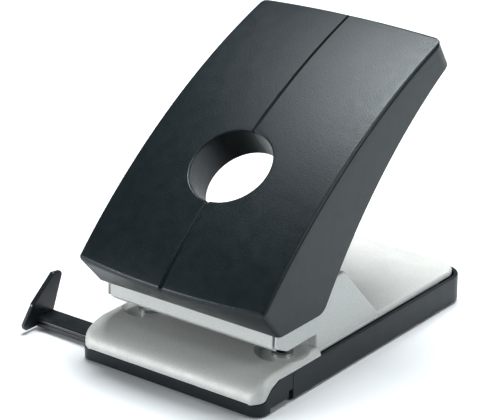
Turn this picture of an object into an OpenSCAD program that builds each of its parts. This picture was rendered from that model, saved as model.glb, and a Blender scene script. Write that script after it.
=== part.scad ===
// Two-hole office punch with a tall, leaning lever and a finger hole in it.
// Millimetres.  +X is the operator's right, +Y points to the back, +Z is up.
// Every piece is drawn with y = 0 at the punch pins.  The last module, placed(), then moves it
// so that the origin lies on the table, under the middle of the front foot.

/* [Punching] */
// Distance between the two punched holes
hole_pitch = 80; // [70:1:90]
// Diameter of the punch pins
pin_d = 5.5; // [4.5:0.1:6.5]
// Distance from the hole centres to the paper stop
stop_depth = 12; // [10:0.5:14]
// Height of the paper slot
slot_h = 6.6; // [5:0.1:8]
// Travel of the punch pins
stroke = 8.8; // [8:0.1:10]

/* [Base] */
// Overall width of the base
base_w = 107.6; // [107.6:0.2:130]
// Distance from the pins to the front of the base
front_reach = 36; // [34:0.5:44]
// Distance from the pins to the back of the base
rear_reach = 136.6; // [125:0.2:165]
// Height of the paper table
table_z = 18; // [17:0.5:22]
// Height of the black rim around the base
rim_z = 14.6; // [13.8:0.1:16]
// Radius of the front corners in plan
front_corner_r = 6.5; // [4:0.5:10]
// Radius of the rear corners in plan
rear_corner_r = 12; // [8:0.5:16]
// Height of the rubber feet below the base
foot_gap = 0.8; // [0.5:0.1:1.5]

/* [Housing] */
// Height of the silver deck behind the lever
deck_z = 17.8; // [17:0.1:21]
// Distance from the pins to the foot of the rear slope
slope_foot_y = 62.3; // [56:0.5:75]
// Height of the upper end of the rear slope
slope_top_z = 49; // [44:0.5:50]
// Width of each corner piece beside the front band
corner_w = 2.4; // [2:0.1:3]

/* [Lever] */
// How much wider than the base the lever is at its lower edge
lever_over = 2; // [0.4:0.2:6]
// Narrowing of the lever from its lower to its upper end, both sides together
lever_taper = 2; // [0:0.2:8]
// Overall height of the punch with the lever up
lever_top_z = 144; // [136:0.2:160]
// Forward bulge of the lever's face at its lower end
crown_low = 6.2; // [2:0.1:8]
// Forward bulge of the lever's face at its upper end
crown_high = 2.2; // [1:0.1:4]
// Diameter of the finger hole
finger_d = 41.6; // [34:0.2:44]
// Depth of the finger hole's wall
finger_depth = 19; // [16:0.5:22]
// Height of the pivot axle
pivot_z = 60; // [59:0.5:61]
// Distance of the pivot axle in front of the pins
pivot_reach = 13.5; // [12.5:0.5:15]

/* [Paper guide] */
// Distance from the middle of the sheet to the paper stop as it stands now
stop_x = 91.3; // [80:0.1:110]
// Length of the guide bar
guide_len = 107; // [90:1:110]
// Width of the guide bar
guide_w = 12.9; // [10:0.1:13.5]
// Thickness of the guide bar
guide_t = 4.7; // [3:0.1:4.8]

/* [Walls] */
// Wall of the moulded shells
wall = 2.2; // [1.6:0.1:2.6]
// Thickness of the steel side plates
plate_t = 2.4; // [1.5:0.1:2.6]
// Thickness of the steel base plate
floor_t = 2; // [1.5:0.1:2.4]
// Gap between moulded parts that meet
gap = 0.4; // [0.2:0.05:0.6]

/* [Hidden] */

$fn = 48;
e = 0.01;              // overshoot of a cut past a face
run = 0.05;            // radial clearance of a running fit
BLACK = [0.13, 0.15, 0.17];
SILVER = [0.78, 0.79, 0.78];
STEEL = [0.62, 0.63, 0.64];
RUBBER = [0.08, 0.08, 0.08];

pin_x = hole_pitch / 2;
pin_r = pin_d / 2;
base_x = max(base_w, hole_pitch + 27.6) / 2;
lever_x = base_x + lever_over / 2;
skirt_step = 1;                        // step of the lever's skirt inside its face
skirt_wall = 2;                        // wall of the skirt
side_play = 0.4;                       // between the skirt and the cheeks
cheek_x = lever_x - 0.28 * lever_taper - skirt_step - skirt_wall - side_play;
cheek_t = 1.6;                         // wall of the housing
band_x = cheek_x - corner_w;
lip_z = 6.3;                           // top of the black lip at the front
seam_y = -10.3;                        // back face of the front base
slot_top = table_z + slot_h;
plate_top = rim_z - 0.2;               // upper face of the steel base plate
plate_bot = plate_top - floor_t;
plate_front = -24.2;                   // front edge of the steel base plate
inner_x = cheek_x - cheek_t;           // inside face of the cheeks
side_out = inner_x - 1.2;              // outer face of the steel side plates
side_in = side_out - plate_t;

// Pivot and press bar.  The bar swings as far below the axle's height as above it.
pivot = [-pivot_reach, pivot_z];
half_swing = atan((stroke / 2) / pivot_reach);
bar_y = 0;
bar_z = pivot_z + stroke / 2;
bar_r = 4;
axle_r = 3;
hub_r = 7;

// Punch pins
bar_gap = 0.1;
pin_head_top = bar_z - bar_r - bar_gap;
pin_head_h = 4;
pin_head_r = 4.3;
pin_tip = slot_top + 0.5;
bridge_z = slot_top + 2.4;
bridge_h = 6;
bridge_d = 13;
guide_r = 4.2;
flange_r = 4.5;
flange_h = 1;
spring_z = bridge_z + bridge_h + flange_h;
spring_h = pin_head_top - pin_head_h - spring_z;
die_r = 5.2;

// Lever outline in the side view, as [y, z]
chin_front = [-34.2, 51.6];            // front lower edge, at the side
chin_back = [-21, 35.8];               // where the chin meets the front band
heel_a = [9.4, 35.8];                  // the heel's rounded corner, front end
heel_b = [15.2, 38.6];                 // the heel's rounded corner, back end
top_front = [107.8, lever_top_z];
top_back = [117, lever_top_z - 13.2];
face_sag = 10;                         // bulge of the face's arc in the side view
back_sag = 8.2;                        // bulge of the skirt's back edge
skin = 2.4;                            // wall of the lever shell
finger = [13.1, 95.4];                 // centre of the finger hole on the face
finger_tilt = 38;                      // lean of the finger hole's axis

// A point at share t of the arc from p to q that bulges by sag to the left
function arc_at(p, q, sag, t) =
    let (c = norm(q - p), r = c * c / (8 * sag) + sag / 2, half = asin(c / (2 * r)),
         a = half * (2 * t - 1), u = (q - p) / c, n = [-u[1], u[0]])
    (p + q) / 2 + u * r * sin(a) + n * (r * cos(a) - r + sag);
function mix(a, b, t) = a + (b - a) * t;
function unit(v) = v / norm(v);
function left(v) = [-v[1], v[0]];
function face_dir(t) = unit(arc_at(chin_front, top_front, face_sag, t + 0.01)
                            - arc_at(chin_front, top_front, face_sag, t - 0.01));

// Every station of the lever joins a point of its face to a point of its back edge
n_up = 12;                             // stations above the heel
n_across = 16;                         // steps across the face
face_low = [0, 0.05, 0.1, 0.15];
back_low = [chin_back, mix(chin_back, heel_a, 0.5), heel_a, heel_b];
function face_share(i) = i < 4 ? face_low[i] : mix(0.15, 1, (i - 3) / n_up);
function face_pt(i, inset) = let (t = face_share(i))
    arc_at(chin_front, top_front, face_sag, t) - left(face_dir(t)) * inset;
function back_pt(i, inset) = (i < 4 ? back_low[i]
    : arc_at(heel_b, top_back, back_sag, (i - 3) / n_up))
    + (inset > 0 ? (i < 3 ? [0, -inset] : unit([1, -1]) * inset) : [0, 0]);
function half_w(i, inset) = lever_x - lever_taper / 2 * face_share(i)
    - (i == n_up + 3 ? 4 : 0) - inset;
function crown(t) = mix(crown_high, crown_low, pow(1 - t, 3));
function crown_dir(t) = unit(mix([-1, 0], left(face_dir(t)), min(1, t / 0.15)));
function station(i, inset, f, b) = let (w = half_w(i, inset), t = face_share(i), c = crown(t),
    n = crown_dir(t), wb = w - skirt_step + (inset > 0 ? skin - skirt_wall : 0))
    concat([for (k = [0:n_across]) let (x = -w + 2 * w * k / n_across, s = c * (1 - pow(x / (w + inset), 2)))
                [x, f[0] + n[0] * s, f[1] + n[1] * s]],
           [for (k = [0:n_across]) [wb - 2 * wb * k / n_across, b[0], b[1]]]);

// A closed solid through the stations first..last
module lever_loft(rings) {
    m = 2 * (n_across + 1);
    k = len(rings);
    pts = [for (ring = rings) each ring];
    sides = [for (i = [0:k - 2], j = [0:m - 1]) let (j2 = (j + 1) % m)
                each [[i * m + j, (i + 1) * m + j2, i * m + j2], [i * m + j, (i + 1) * m + j, (i + 1) * m + j2]]];
    h = n_across + 1;
    low = [for (j = [0:h - 2]) each [[j, 2 * h - 2 - j, 2 * h - 1 - j], [j, j + 1, 2 * h - 2 - j]]];
    top = [for (j = [0:h - 2]) let (o = (k - 1) * m)
              each [[o + j, o + 2 * h - 1 - j, o + 2 * h - 2 - j], [o + j, o + 2 * h - 2 - j, o + j + 1]]];
    polyhedron(points = pts, faces = concat(sides, low, top));
}
module lever_outer() {
    lever_loft([for (i = [0:n_up + 3]) station(i, 0, face_pt(i, 0), back_pt(i, 0))]);
}
module lever_inner() {
    up = face_dir(1);
    lever_loft(concat(
        [station(0, skin, face_pt(0, skin) + face_dir(0) * skin, chin_back + [1.2, -0.8])],
        [for (i = [1:n_up + 2]) station(i, skin, face_pt(i, skin), back_pt(i, skin))],
        [station(n_up + 3, skin, face_pt(n_up + 3, skin) - up * skin,
                 back_pt(n_up + 3, skin) - up * skin)]));
}

// The finger hole's axis, entering from the face
module along_finger() {
    translate([0, finger[0], finger[1]]) rotate([finger_tilt, 0, 0]) children();
}

// Extrudes a [y, z] outline along X between two planes
module along_x(x0, x1) {
    translate([x0, 0, 0]) rotate([90, 0, 90]) linear_extrude(x1 - x0) children();
}
module both_sides() {
    children();
    mirror([1, 0, 0]) children();
}
// A bar along X
module rod(r, x0, x1, y, z) {
    translate([x0, y, z]) rotate([0, 90, 0]) cylinder(r = r, h = x1 - x0);
}

// Rounded plan of the base between y0 and y1
module plan(x, y0, y1, r0, r1) {
    hull() {
        for (s = [-1, 1]) {
            translate([s * (x - r0), y0 + r0]) circle(r0);
            translate([s * (x - r1), y1 - r1]) circle(r1);
        }
    }
}

// Side line where the black front base meets the silver paper table
edge_line = [[-front_reach, lip_z], [-front_reach + 5, 7.2], [-front_reach + 9.7, 12], [-20, rim_z]];

// ---- Base ----
foot_mid = 31;                         // from the pins forward to the middle of the front foot
foot_w = 7.2;
foot_sunk = 0.5;                       // how deep the feet sit in the plastic
foot_r = 4.9;                          // rear feet
rear_foot_y = rear_reach - 14.6;
rear_foot_x = 42;
chan_back = seam_y - 1.1;              // back wall of the guide channel
chan_front = chan_back - guide_w - 0.2;
guide_z = 1.3;                         // underside of the guide bar
chan_top = guide_z + guide_t + 0.4;
keeper_x0 = -base_x + 4;               // plate that holds the guide bar in its channel
keeper_y0 = chan_front - 2;
keeper_len = 22;
keeper_w = guide_w + 2.9;
keeper_top = 1.05;

module front_base() color(BLACK) {
    difference() {
        intersection() {
            translate([0, 0, foot_gap]) linear_extrude(rim_z)
                intersection() {
                    plan(base_x, -front_reach, rear_reach, front_corner_r, rear_corner_r);
                    translate([-base_x - 1, -front_reach - 1]) square([2 * base_x + 2, seam_y + front_reach + 1]);
                }
            along_x(-base_x - 1, base_x + 1)
                polygon(concat([[-front_reach, foot_gap]], edge_line, [[seam_y, rim_z], [seam_y, foot_gap]]));
        }
        // hollow above the guide channel and in front of it
        translate([-base_x + wall, chan_front, chan_top + 1.6])
            cube([2 * base_x - 2 * wall, seam_y - chan_front + e, rim_z]);
        translate([-base_x + wall + 3, -front_reach + wall, foot_gap + 1.8])
            cube([2 * base_x - 2 * wall - 6, chan_front - 1.8 + front_reach - wall, rim_z]);
        // guide channel, through the left wall only
        translate([-base_x - 1, chan_front, foot_gap - 1])
            cube([2 * base_x + 1 - wall, guide_w + 0.2, chan_top - foot_gap + 1]);
        // raised lower edge of the sides
        for (s = [-1, 1]) translate([s * base_x - 8, -27.4, -1]) cube([16, 27.4 + seam_y + 1, 4.1]);
        // finger notch beside the tray
        translate([base_x - 4, seam_y - 3, -1]) cube([5, 4, 7.4]);
        // seats of the foot and of the keeper
        foot_strip(0.1, foot_gap + foot_sunk);
        translate([keeper_x0 - 0.1, keeper_y0 - 0.1, -1]) cube([keeper_len + 0.2, keeper_w + 0.2, keeper_top + 1]);
    }
}
module foot_strip(play, h) {
    translate([0, -foot_mid, 0]) linear_extrude(h) hull()
        for (s = [-1, 1]) translate([s * (base_x - 10), 0]) circle(foot_w / 2 + play);
}
module front_foot() color(RUBBER) foot_strip(0, foot_gap + foot_sunk);

module table_outline(inset) {
    a = 17.6 - inset;
    b = table_z - lip_z - gap - inset;
    c = [-front_reach + 18, lip_z + gap];
    polygon(concat([[stop_depth - gap / 2, table_z - inset]],
                   [for (t = [90:-9:0]) [c[0] - a * cos(t), c[1] + b * sin(t)]],
                   [for (p = [1:3]) edge_line[p] + [0.2, gap]],
                   [[stop_depth - gap / 2, rim_z + gap]]));
}
module table_solid(inset) {
    x = base_x - 0.4 - inset;
    r = 3.4;
    intersection() {
        along_x(-base_x, base_x) table_outline(inset);
        linear_extrude(table_z + 1) plan(x, -front_reach + 0.3 + inset, stop_depth + 20, front_corner_r - inset, 2);
        translate([0, stop_depth, 0]) rotate([90, 0, 0]) linear_extrude(60)
            translate([-x, -20]) square([2 * x, table_z + 20]);
        translate([0, stop_depth, 0]) rotate([90, 0, 0]) linear_extrude(60) hull() {
            for (s = [-1, 1]) translate([s * (x - r), table_z - inset - r]) circle(r);
            translate([-x, 0]) square([2 * x, 1]);
        }
    }
}
module paper_table() color(SILVER) {
    difference() {
        union() {
            difference() {
                table_solid(0);
                difference() {
                    table_solid(wall);
                    translate([-base_x, stop_depth - 3, 0]) cube([2 * base_x, 5, 40]);
                }
                translate([-base_x + wall + 0.4, -front_reach + 12, -1])
                    cube([2 * base_x - 2 * wall - 0.8, stop_depth + front_reach - 14, table_z - 4 + 1]);
            }
            // bed that carries the dies
            translate([-pin_x - 8, -9, plate_top + 0.05]) cube([hole_pitch + 16, stop_depth + 7, table_z - plate_top - 1]);
        }
        for (s = [-1, 1]) translate([s * pin_x, 0, 0]) {
            cylinder(r = die_r + 0.02, h = table_z + 1);
            translate([0, 0, table_z - 0.9]) cylinder(r1 = 11.4, r2 = 13.2, h = 0.92);
        }
        // room above the steel base plate's edge
        translate([-side_out - 1, -29, plate_bot - 6]) cube([2 * side_out + 2, stop_depth + 40, plate_top - plate_bot + 6.05]);
    }
}

module base_plate() color(STEEL) {
    difference() {
        translate([-side_out, plate_front, plate_bot]) cube([2 * side_out, rear_reach - 6.6 - plate_front, floor_t]);
        for (s = [-1, 1]) {
            translate([s * pin_x, 0, plate_bot - 1]) cylinder(r = die_r + 0.02, h = floor_t + 2);
            for (y = rivet_y) translate([s * rivet_x, y, plate_bot - 1]) cylinder(r = rivet_r + 0.05, h = floor_t + 2);
            for (p = cover_screw_at) translate([s * p[0], p[1], plate_bot - 1]) cylinder(r = 1.55, h = floor_t + 2);
        }
    }
}
rivet_x = side_in - 5;
rivet_y = [26, 48];
rivet_r = 2;
cover_screw_at = [[30, 40], [30, rear_reach - 18.6]];
flange_t = 2;

module frame_rivets() color(STEEL)
    for (s = [-1, 1], y = rivet_y) translate([s * rivet_x, y, 0]) {
        translate([0, 0, plate_bot - 1.2]) cylinder(r = 3.4, h = 1.2);
        translate([0, 0, plate_bot - e]) cylinder(r = rivet_r, h = floor_t + flange_t + 2 * e);
        translate([0, 0, plate_top + flange_t]) cylinder(r1 = 3.4, r2 = 2.2, h = 1.2);
    }

rail_x = base_x - 9.8;
rail_bot = plate_bot - 3.1;
module tray_rails() color(STEEL)
    both_sides() along_y(-6, rear_reach - 14.6)
        polygon([[rail_x, plate_bot - 0.02], [rail_x + 2.2, plate_bot - 0.02], [rail_x + 2.2, plate_bot - 1.9],
                 [rail_x + 4.4, plate_bot - 1.9], [rail_x + 4.4, rail_bot], [rail_x, rail_bot]]);

// Extrudes an [x, z] outline along Y between two planes
module along_y(y0, y1) {
    translate([0, y1, 0]) rotate([90, 0, 0]) linear_extrude(y1 - y0) children();
}

// ---- Steel frame ----
module side_plate(s) {
    x0 = s > 0 ? side_in : -side_out;
    difference() {
        union() {
            along_x(x0, x0 + plate_t) {
                polygon([[stop_depth + 3.5, plate_top], [slope_foot_y - 5, plate_top], [slope_foot_y - 5, deck_z + 2],
                         [32, slope_top_z - 5], [10, slope_top_z - 1], pivot + [hub_r, 0], pivot,
                         pivot + [-3, -hub_r], [-15, bridge_z + 5], [-8, bridge_z - 0.2],
                         [stop_depth + 3.5, bridge_z - 0.2]]);
                translate(pivot) circle(hub_r - 0.4);
            }
            translate([s > 0 ? side_in - 9 : -side_in - 0, stop_depth + 6, plate_top])
                cube([9, slope_foot_y - 13 - stop_depth, flange_t]);
        }
        rod(axle_r + 0.02, x0 - 1, x0 + plate_t + 1, pivot[0], pivot[1]);
        for (y = bridge_screw_y) rod(1.55, x0 - 1, x0 + plate_t + 1, y, bridge_z + bridge_h / 2);
        for (y = rivet_y) translate([s * rivet_x, y, plate_top - 1]) cylinder(r = rivet_r + 0.05, h = flange_t + 2);
    }
}
bridge_screw_y = [-3.8, 3.8];
module side_plate_left() color(STEEL) side_plate(-1);
module side_plate_right() color(STEEL) side_plate(1);

module guide_bridge() color(STEEL) {
    w = side_in - 0.05;
    difference() {
        translate([-w, -bridge_d / 2, bridge_z]) cube([2 * w, bridge_d, bridge_h]);
        for (s = [-1, 1]) {
            translate([s * pin_x, 0, bridge_z - 1]) cylinder(r = guide_r + 0.02, h = bridge_h + 2);
            for (y = bridge_screw_y)
                rod(1.25 + 0.02, s > 0 ? w - 2 : -w - 1, s > 0 ? w + 1 : -w + 2, y, bridge_z + bridge_h / 2);
        }
    }
}
module bridge_screws() color(STEEL)
    both_sides() for (y = bridge_screw_y) {
        z = bridge_z + bridge_h / 2;
        difference() {
            rod(2.6, side_out, side_out + 0.9, y, z);
            translate([side_out + 0.5, y - 0.35, z - 3]) cube([1, 0.7, 6]);
        }
        rod(1.25, side_in - 1.2, side_out + e, y, z);
    }

module pin_guide() {
    difference() {
        union() {
            translate([0, 0, slot_top + 0.4]) cylinder(r = guide_r, h = bridge_z + bridge_h - slot_top - 0.4);
            translate([0, 0, bridge_z + bridge_h]) cylinder(r = flange_r, h = flange_h);
        }
        translate([0, 0, slot_top]) cylinder(r = pin_r + run, h = bridge_z + bridge_h + flange_h);
    }
}
module pin_guide_left() color(STEEL) translate([-pin_x, 0, 0]) pin_guide();
module pin_guide_right() color(STEEL) translate([pin_x, 0, 0]) pin_guide();

module die() {
    difference() {
        translate([0, 0, plate_bot]) cylinder(r = die_r, h = table_z - 0.1 - plate_bot);
        translate([0, 0, plate_bot - 1]) cylinder(r = pin_r + 0.06, h = table_z);
    }
}
module die_left() color(STEEL) translate([-pin_x, 0, 0]) die();
module die_right() color(STEEL) translate([pin_x, 0, 0]) die();

module pivot_axle() color(STEEL)
    difference() {
        rod(axle_r, -side_out - 0.95, side_out + 0.95, pivot[0], pivot[1]);
        for (s = [-1, 1]) translate([s * (side_out + 0.45), pivot[0], pivot[1]]) rotate([0, 90, 0])
            translate([0, 0, -0.25]) difference() {
                cylinder(r = axle_r + 1, h = 0.5);
                translate([0, 0, -1]) cylinder(r = axle_r - 0.6, h = 3);
            }
    }
module axle_clips() color(STEEL)
    both_sides() translate([side_out + 0.25, pivot[0], pivot[1]]) rotate([0, 90, 0]) difference() {
        cylinder(r = 5, h = 0.4);
        translate([0, 0, -1]) cylinder(r = axle_r - 0.55, h = 3);
        translate([0, -1.4, -1]) cube([8, 2.8, 3]);
    }

// ---- Silver housing ----
slope_top = [slope_foot_y - (slope_top_z - deck_z) * 0.92, slope_top_z];
arm_tip = [-10.3, slot_top - 0.3];
band_foot = [-18.9, slot_top + 3.7];
deck_edge_y = rear_reach - wall - 0.4;
foot_z = rim_z + gap;
module housing_outline() {
    polygon([arm_tip, [stop_depth, slot_top], [stop_depth, foot_z], [slope_foot_y + 2, foot_z],
             [slope_foot_y + 2, deck_z], [slope_foot_y, deck_z], slope_top, [-10, slope_top_z],
             [band_foot[0] + 1.2, slope_top_z - 3], [band_foot[0] + 0.4, band_foot[1]]]);
}
module housing_hollow() {
    t = 1.8;
    polygon([[band_foot[0] + t + 0.6, slot_top + t], [stop_depth + t, slot_top + t], [stop_depth + t, 0],
             [slope_foot_y + 6, 0], [slope_foot_y + 6, deck_z - t], [slope_foot_y - 0.6, deck_z - t],
             slope_top + [-t * 1.1, -t], slope_top + [-t * 1.1, 20], [band_foot[0] - 5, slope_top_z + 20],
             [band_foot[0] - 5, slope_top_z - 6], [band_foot[0] - 5, slot_top + t + 1]]);
}
module deck() {
    hull() {
        translate([0, 0, foot_z]) linear_extrude(deck_z - foot_z - 1.6) deck_plan(0);
        translate([0, 0, deck_z - 0.5]) linear_extrude(0.5) deck_plan(1.4);
    }
}
module deck_plan(inset) {
    x = base_x - wall - 0.4 - inset;
    hull() {
        for (s = [-1, 1]) translate([s * (x - 11), deck_edge_y - 11 - inset]) circle(11, $fn = 32);
        translate([-x, slope_foot_y]) square([2 * x, 1]);
    }
}
module housing_cover() color(SILVER) {
    difference() {
        union() {
            along_x(-cheek_x, cheek_x) housing_outline();
            deck();
        }
        along_x(-inner_x, inner_x) housing_hollow();
        translate([-inner_x, slope_foot_y + 2, -e]) cube([2 * inner_x, deck_edge_y - slope_foot_y - 8, deck_z - 1.8 + e]);
        for (s = [-1, 1]) translate([s * pin_x, 0, slot_top - 2]) cylinder(r = pin_r + 1.8, h = 6);
        // room for the front band between its seams
        translate([-band_x - gap / 2, band_foot[0] - 6, 0]) cube([2 * band_x + gap, 6 + 2.6, slope_top_z + 20]);
    }
    for (s = [-1, 1], p = cover_screw_at) translate([s * p[0], p[1], 0]) difference() {
        top = p[1] < slope_foot_y ? deck_z + (slope_foot_y - p[1]) / 0.92 - 3.2 : deck_z - 1;
        translate([0, 0, plate_top + 0.02]) cylinder(r = 3.4, h = top - plate_top);
        translate([0, 0, plate_top - 1]) cylinder(r = 1.5 + 0.02, h = screw_len(p) + 1.4);
    }
}
function screw_len(p) = p[1] < slope_foot_y ? 9 : 1.4;
module cover_screws() color(STEEL)
    for (s = [-1, 1], p = cover_screw_at) translate([s * p[0], p[1], 0]) {
        difference() {
            translate([0, 0, plate_bot - 1.4]) cylinder(r = 2.9, h = 1.4);
            translate([-3, -0.4, plate_bot - 2]) cube([6, 0.8, 1.2]);
        }
        translate([0, 0, plate_bot - e]) cylinder(r = 1.5, h = floor_t + screw_len(p));
    }

module front_band() color(SILVER) {
    t = 1.6;
    y = band_foot[0];
    x = band_x - gap / 2;
    along_x(-x, x)
        polygon([[y, band_foot[1]], [y, slot_top + 11], [y - 3.4, slot_top + 19.4], [y - 4.7, slot_top + 27.4],
                 [y - 3, pivot_z + 0.6], [y - 3 + t, pivot_z + 0.6], [y - 4.7 + t, slot_top + 27.4],
                 [y - 3.4 + t, slot_top + 19.7], [y + t, slot_top + 11.3], [y + t, band_foot[1] + 1.2],
                 [y + 3.2, slot_top + 2], [y + 3.2, slot_top + 1]]);
}

// ---- Paper guide ----
module guide_keeper() color(BLACK)
    difference() {
        translate([keeper_x0, keeper_y0, keeper_top - 0.6]) cube([keeper_len, keeper_w, 0.6]);
        translate([keeper_x0 + keeper_len / 2, chan_front + 3, -1]) cylinder(r = 1.2, h = 3);
    }
module detent_spring() color(STEEL) {
    z = chan_top - 0.05;
    t = 0.18;
    y = chan_front + guide_w / 2;
    along_y(y - 1.5, y + 1.5)
        polygon([[-45, z], [-38, z], [-35, z - 0.12], [-32, z], [-26, z],
                 [-26, z - t], [-32, z - t], [-35, z - 0.12 - t], [-38, z - t], [-45, z - t]]);
}

module guide_bar() color(BLACK) {
    y0 = chan_front + 0.1;
    y1 = y0 + guide_w;
    z1 = guide_z + guide_t;
    difference() {
        along_x(-stop_x, -stop_x + guide_len)
            polygon([[y0 + 0.6, guide_z], [y1 - 0.4, guide_z], [y1, guide_z + 0.4], [y1, z1 - 0.4], [y1 - 0.4, z1],
                     [y0 + 0.7, z1], [y0, z1 - 0.7], [y0, z1 - 1.5], [y0 + 0.7, z1 - 1.8], [y0 + 0.7, z1 - 2.2],
                     [y0, z1 - 2.5], [y0, guide_z + 0.6]]);
        // position ticks on the top face
        for (k = [0:9]) translate([-stop_x + 34 + 6 * k, y0 + 3, z1 - 0.3]) cube([0.6, k % 2 == 0 ? 6 : 3.6, 1]);
        // notches for the detent spring
        for (k = [0:8]) translate([-stop_x + 40 + 6 * k, chan_front + guide_w / 2 - 2, z1 - 0.3])
            rotate([-90, 0, 0]) cylinder(r = 0.8, h = 4);
    }
    // the paper stop at the bar's outer end
    along_x(-stop_x - 2.6, -stop_x + e) hull() {
        translate([y1 + 4.6, 23.1]) circle(1.9, $fn = 32);
        translate([y1 + 0.7, 24]) circle(1.5, $fn = 32);
        translate([y0 - 3.4, 11.4]) circle(4, $fn = 32);
        translate([y0 - 6.2, guide_z + 3]) circle(2.6, $fn = 32);
        translate([y1 - 0.4, guide_z]) square([0.4, guide_t]);
    }
    // rib that stiffens the stop
    along_x(-stop_x, -stop_x + 2.2) polygon([[y1 - 2.4, z1 - 0.1], [y1, z1 - 0.1], [y1 + 1.6, z1 + 6], [y1 - 0.4, z1 + 6]]);
}

// ---- Chad tray ----
tray_front = seam_y + gap;
tray_floor = 2;
module chad_tray() color(BLACK) {
    difference() {
        translate([0, 0, foot_gap]) linear_extrude(rim_z - foot_gap) tray_plan(0);
        translate([0, 0, foot_gap + tray_floor]) linear_extrude(rim_z) tray_plan(wall);
        // the front wall slides back under the rails
        translate([-base_x + wall, tray_front - 1, rail_bot - 0.4]) cube([2 * (base_x - wall), wall + 2, rim_z]);
        for (s = [-1, 1]) translate([s * rear_foot_x, rear_foot_y, -1]) cylinder(r = foot_r + 0.1, h = foot_gap + foot_sunk + 1);
    }
    // ribs that ride on the rails
    both_sides() translate([rail_x + 2.9, tray_front + 4, plate_bot - 1.6])
        cube([base_x - wall - rail_x - 2.9 + 0.2, rear_reach - 34, 1.2]);
}
module tray_plan(inset) {
    intersection() {
        plan(base_x - inset, -front_reach, rear_reach - inset, front_corner_r, rear_corner_r - inset);
        translate([-base_x, tray_front + inset]) square([2 * base_x, rear_reach + 20]);
    }
}
module rear_feet() color(RUBBER)
    for (s = [-1, 1]) translate([s * rear_foot_x, rear_foot_y, 0]) cylinder(r = foot_r, h = foot_gap + foot_sunk);

// ---- Lever ----
arm_x = 31.5;                          // middle of the lever frame's arms
arm_t = 3;
cover_t = 2;                           // thickness of the lever's inner cover
function behind_face(t, depth) = arc_at(chin_front, top_front, face_sag, t) - left(face_dir(t)) * depth;
cover_shares = [for (t = [0.28:0.09:0.911]) t];
cover_line = [for (t = cover_shares) behind_face(t, finger_depth)];
cover_line_in = [for (t = cover_shares) behind_face(t, finger_depth - cover_t)];
function flip(v) = [for (i = [len(v) - 1:-1:0]) v[i]];
screw_t = [0.56, 0.84];                // shares of the face where the cover's screws stand
screw_x = 40;

module lever_shell() color(BLACK) resize([2 * lever_x, 0, 0]) {
    difference() {
        union() {
            difference() {
                lever_outer();
                lever_inner();
            }
            // wall of the finger hole
            intersection() {
                lever_outer();
                along_finger() translate([0, 0, -finger_depth]) cylinder(r = finger_d / 2 + 2, h = finger_depth + 2, $fn = 64);
            }
        }
        along_finger() translate([0, 0, -60]) cylinder(r = finger_d / 2, h = 100, $fn = 64);
    }
    // posts for the cover's screws
    difference() {
        for (s = [-1, 1], t = screw_t) post(s, t, 0.6, finger_depth - cover_t - gap, 3);
        for (s = [-1, 1], t = screw_t) post(s, t, screw_tip - 1, finger_depth, screw_r + 0.02);
    }
}
screw_r = 1.5;
screw_tip = 9;                         // depth of the screw tips behind the face
// A post square to the face at share t, between two depths behind it
module post(s, t, d0, d1, r) {
    p = behind_face(t, d1);
    n = left(face_dir(t));
    translate([s * screw_x, p[0], p[1]])
        rotate([-atan2(n[0], n[1]), 0, 0]) cylinder(r = r, h = d1 - d0);
}
module lever_cover() color(BLACK) {
    w = lever_x - lever_taper / 2 - skin - skirt_step - gap;
    difference() {
        along_x(-w, w) polygon(concat(cover_line, flip(cover_line_in)));
        along_finger() translate([0, 0, -60]) cylinder(r = finger_d / 2 + 2.3, h = 100, $fn = 64);
        // room for the lever frame below the finger hole
        translate([-arm_x - 6, -40, 0]) cube([2 * arm_x + 12, 40 + finger[0] + 9, 200]);
        for (s = [-1, 1], t = screw_t) post(s, t, finger_depth - 5, finger_depth + 5, 1.6);
    }
}
module lever_screws() color(STEEL)
    for (s = [-1, 1], t = screw_t) {
        post(s, t, finger_depth + 0.1, finger_depth + 1.7, 2.8);
        post(s, t, screw_tip, finger_depth + 0.1 + e, screw_r);
    }

// a point of the frame, by its height above the straight line from the face's lower end to its upper end
function off_face(y, height) =
    [y, mix(chin_front[1], top_front[1], (y - chin_front[0]) / (top_front[0] - chin_front[0])) + height];
module lever_frame() color(STEEL) {
    difference() {
        union() {
            both_sides() along_x(arm_x - arm_t / 2, arm_x + arm_t / 2) {
                polygon([pivot + [-4.4, 5], [-8, 73.4], off_face(8, 7.4), off_face(38, 6.9), off_face(66, 2),
                         off_face(70, -9), off_face(44, -6.6), off_face(24, -6.6), [6, 60.5], [-4, 56],
                         pivot + [2, -hub_r + 0.8], pivot + [-5, -4]]);
                translate(pivot) circle(hub_r - 0.2);
            }
            // upper and lower webs
            along_x(-arm_x, arm_x) polygon([off_face(46, 5.7), off_face(64, 2.3), off_face(65, -0.3), off_face(47, 3)]);
            along_x(-arm_x, arm_x) polygon([[-15.6, 66.6], [-9.2, 72.4], [-8, 70.9], [-14.4, 65.2]]);
        }
        rod(axle_r + run, -40, 40, pivot[0], pivot[1]);
        rod(bar_r + 0.01, -40, 40, bar_y, bar_z);
    }
}
module press_bar() color(STEEL) {
    bar_end = pin_x + pin_head_r - 0.4;
    rod(bar_r, -bar_end + 0.6, bar_end - 0.6, bar_y, bar_z);
    both_sides() translate([bar_end - 0.6 - e, bar_y, bar_z]) rotate([0, 90, 0]) cylinder(r1 = bar_r, r2 = bar_r - 0.6, h = 0.6);
}

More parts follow.
